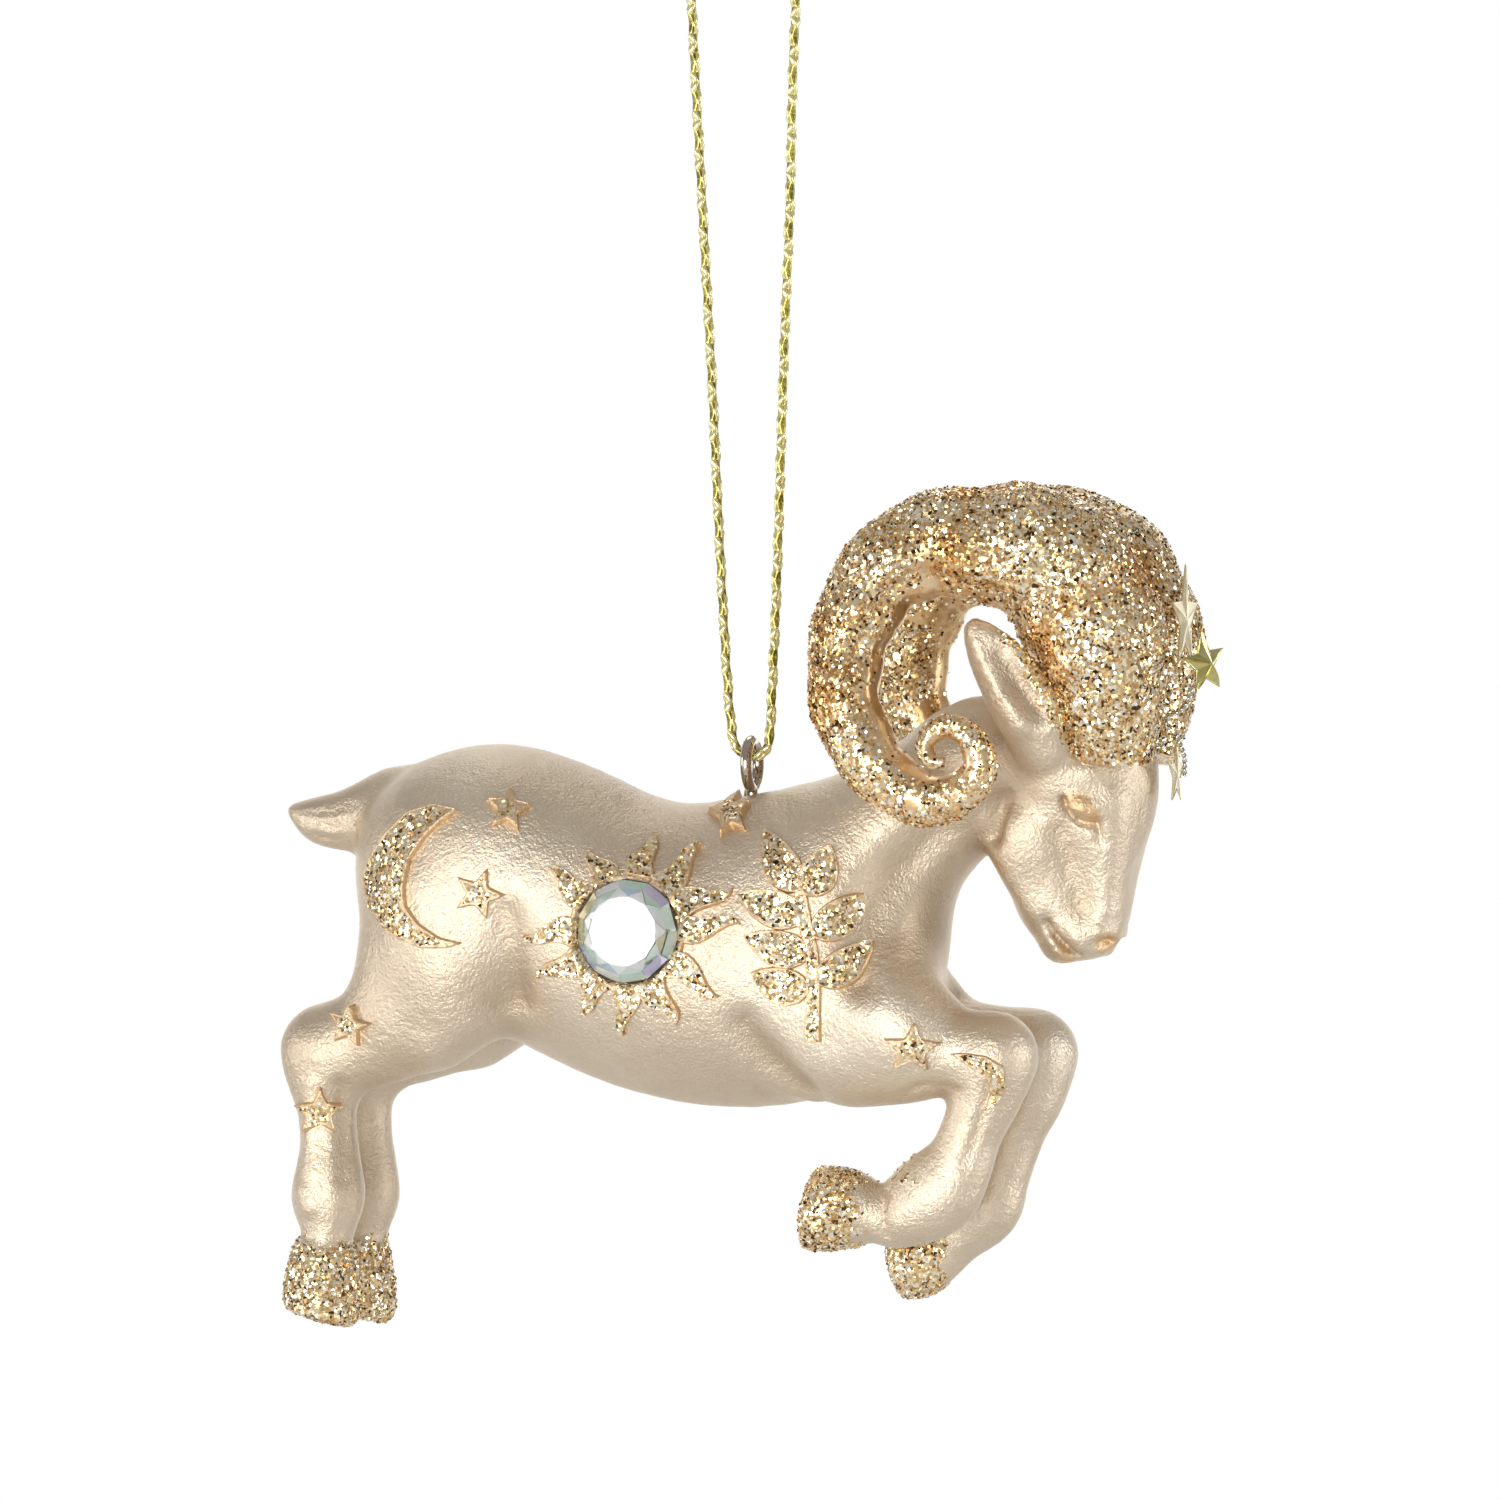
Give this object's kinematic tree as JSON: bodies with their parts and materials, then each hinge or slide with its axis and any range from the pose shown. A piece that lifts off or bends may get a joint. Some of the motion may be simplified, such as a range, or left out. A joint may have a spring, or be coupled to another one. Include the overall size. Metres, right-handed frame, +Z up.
{
  "type": "ram tree ornament",
  "caption": "Cast metallic resin ram ornament with curled glitter horns, flank gems and a foil star garland, hung from a cord loop through a screw eye.",
  "frame": {"origin": "crown of the hanging cord loop, on the ram's mid-plane", "axes": "+X towards the ram's nose, +Z up, +Y towards the ram's left side; the ram's right side faces -Y"},
  "size_m": [0.0901, 0.0372, 0.1423],
  "materials": {
    "champagne_paint": "satin champagne metallic paint over cast resin, gold glitter on hooves and motifs",
    "glitter_gold": "coarse gold glitter over cast resin",
    "acrylic_gem": "foil-backed faceted acrylic with a pale iridescent coat",
    "eye_metal": "plated steel wire",
    "gold_cord": "braided metallic yarn",
    "foil_cream": "polished cream-gold sheet with copper-coloured edge",
    "foil_olive": "embossed olive-gold sheet",
    "garland_wire": "twisted silver wire"
  },
  "bodies": {
    "cord": {"hanging_cord": "gold_cord", "cord_knot": "gold_cord"},
    "ram": {"ram_body": "champagne_paint", "horn_right": "glitter_gold", "horn_left": "glitter_gold", "gem_right": "acrylic_gem", "gem_left": "acrylic_gem", "screw_eye": "eye_metal", "star_large": "foil_cream", "star_medium": "foil_olive", "garland_wire": "garland_wire"},
    "dangle": {"dangle_wire": "garland_wire", "star_small": "foil_cream"}
  },
  "joints": [
    {"name": "ram_swing", "type": "hinge", "parent": "cord", "child": "ram", "pos_m": [0, 0, -0.08175], "axis": [0, 1, 0], "range_deg": [-40, 60]},
    {"name": "dangle_swing", "type": "hinge", "parent": "ram", "child": "dangle", "pos_m": [0.0413, 0, -0.0806], "axis": [0, 1, 0], "range_deg": [-75, 6]}
  ]
}
